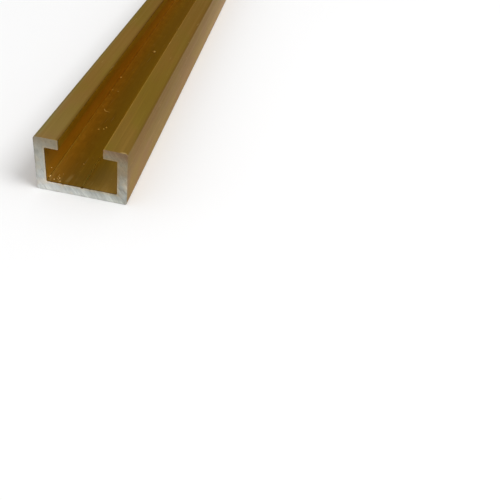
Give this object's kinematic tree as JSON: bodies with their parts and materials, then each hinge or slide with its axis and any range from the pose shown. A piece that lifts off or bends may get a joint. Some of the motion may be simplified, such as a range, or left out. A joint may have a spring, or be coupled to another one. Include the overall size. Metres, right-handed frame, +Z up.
{
  "type": "lipped channel aluminium extrusion",
  "caption": "Straight length of gold anodised aluminium T-slot track: a channel with two inward lips that hold a sliding bolt head, sawn square at both ends.",
  "frame": {"origin": "under the middle of the bar, on the plane of its flat underside", "axes": "+Y along the bar, +Z up out of the channel's mouth, X across the two side walls"},
  "size_m": [0.019, 0.3048, 0.0123],
  "materials": {
    "gold_anodised": "satin gold anodised, with fine die lines along the bar",
    "sawn_end": "bare metal with slanting saw marks, on the two cut ends"
  },
  "bodies": {
    "root": {"channel_bar": "gold_anodised"}
  },
  "joints": []
}
